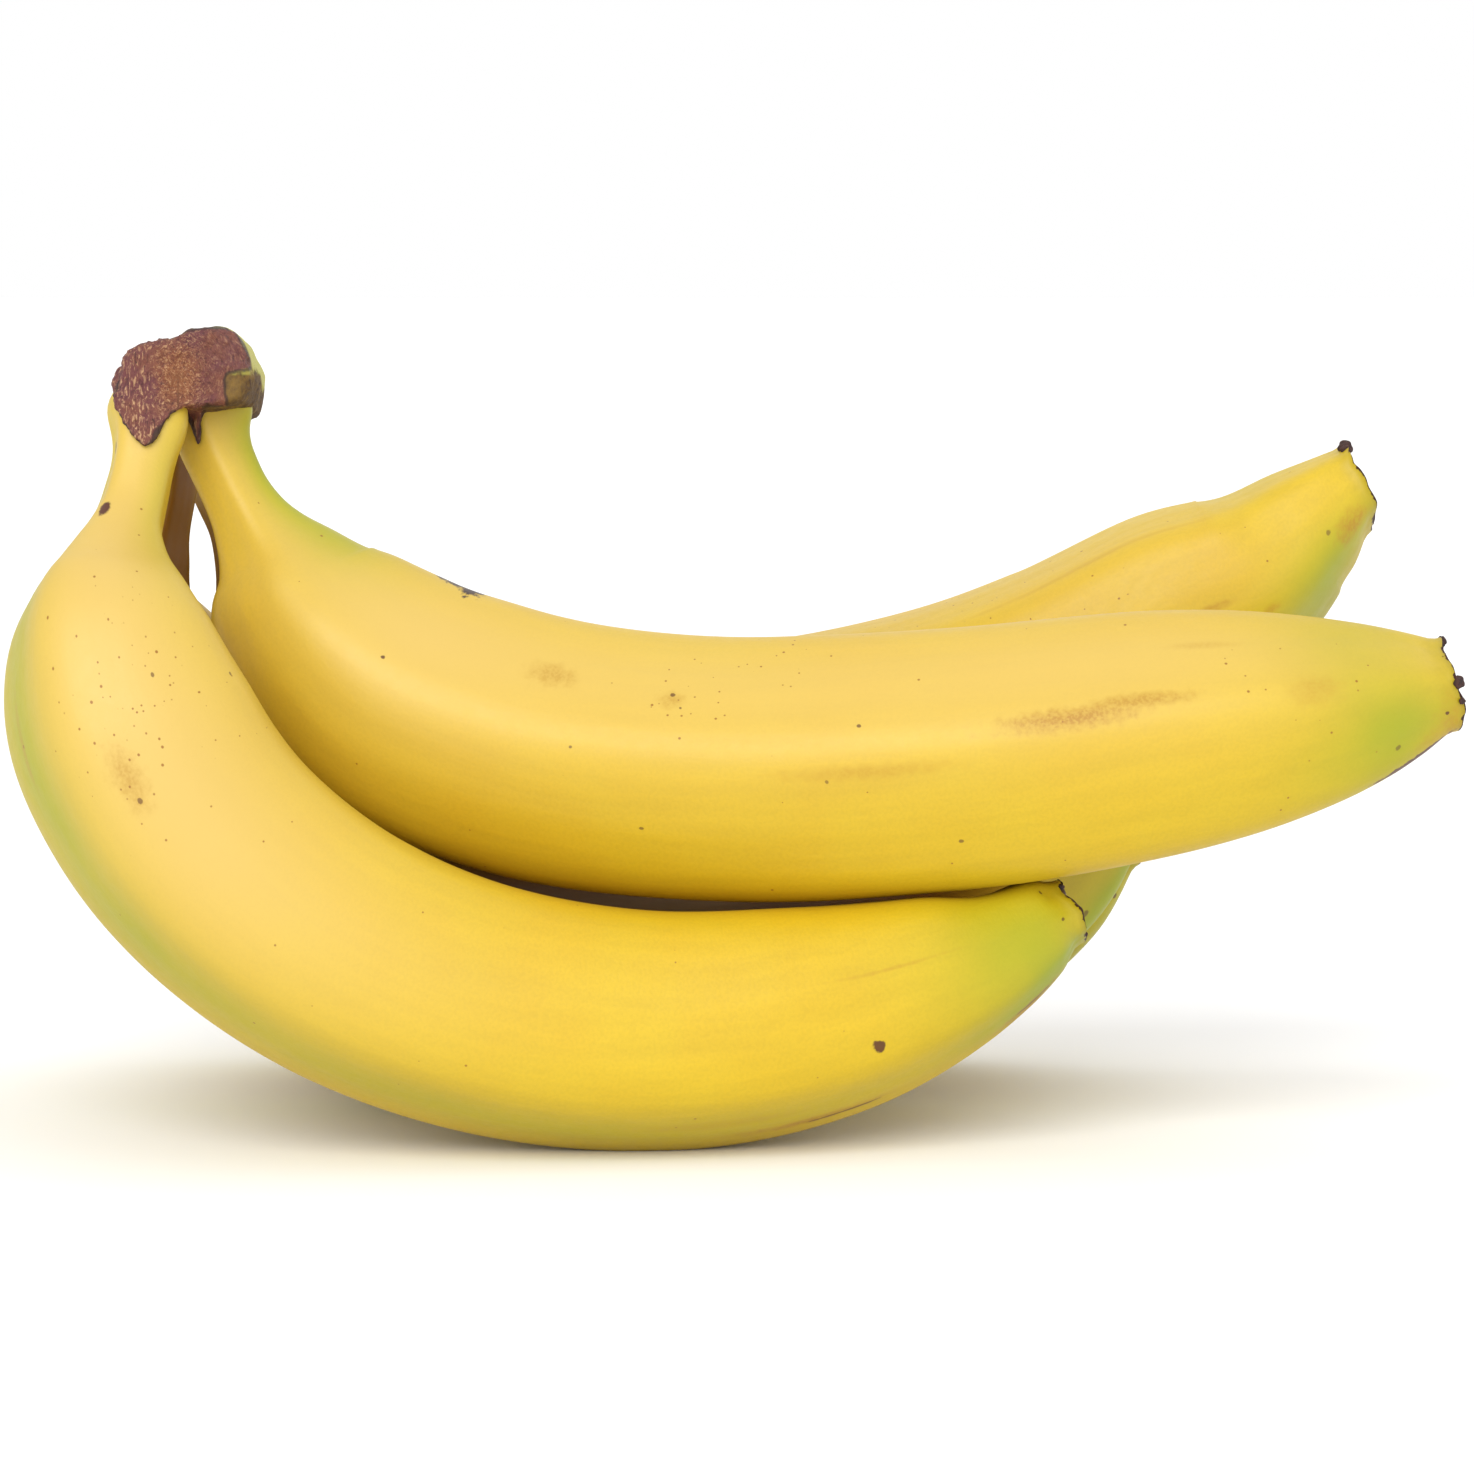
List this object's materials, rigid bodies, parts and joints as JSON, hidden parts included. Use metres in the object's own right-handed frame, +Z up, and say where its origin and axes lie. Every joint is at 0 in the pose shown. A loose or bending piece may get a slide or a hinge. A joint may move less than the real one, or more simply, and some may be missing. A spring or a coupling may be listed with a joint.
{
  "type": "bunch of bananas",
  "caption": "Small bunch of ripe bananas on a cut crown, lying on the bellies of its outer row with both rows curving up to their dried tips.",
  "frame": {"origin": "centre of the bunch's bounding box, on the surface it lies on", "axes": "+Z up, X along the lying bananas from the crown at -X to the tips at +X, Y across the rows with the near row at -Y"},
  "size_m": [0.221, 0.1196, 0.121],
  "materials": {
    "crown": "dry, fibrous",
    "peel_outer_near": "waxy",
    "peel_outer_middle": "waxy",
    "peel_outer_far": "waxy",
    "peel_inner_near": "waxy",
    "peel_inner_far": "waxy",
    "blossom_end": "dry, crumbly"
  },
  "bodies": {
    "root": {"crown": "crown", "banana_outer_near": "peel_outer_near", "banana_outer_middle": "peel_outer_middle", "banana_outer_far": "peel_outer_far", "banana_inner_near": "peel_inner_near", "banana_inner_far": "peel_inner_far", "blossom_end_outer_near": "blossom_end", "blossom_end_outer_middle": "blossom_end", "blossom_end_outer_far": "blossom_end", "blossom_end_inner_near": "blossom_end", "blossom_end_inner_far": "blossom_end"}
  },
  "joints": []
}
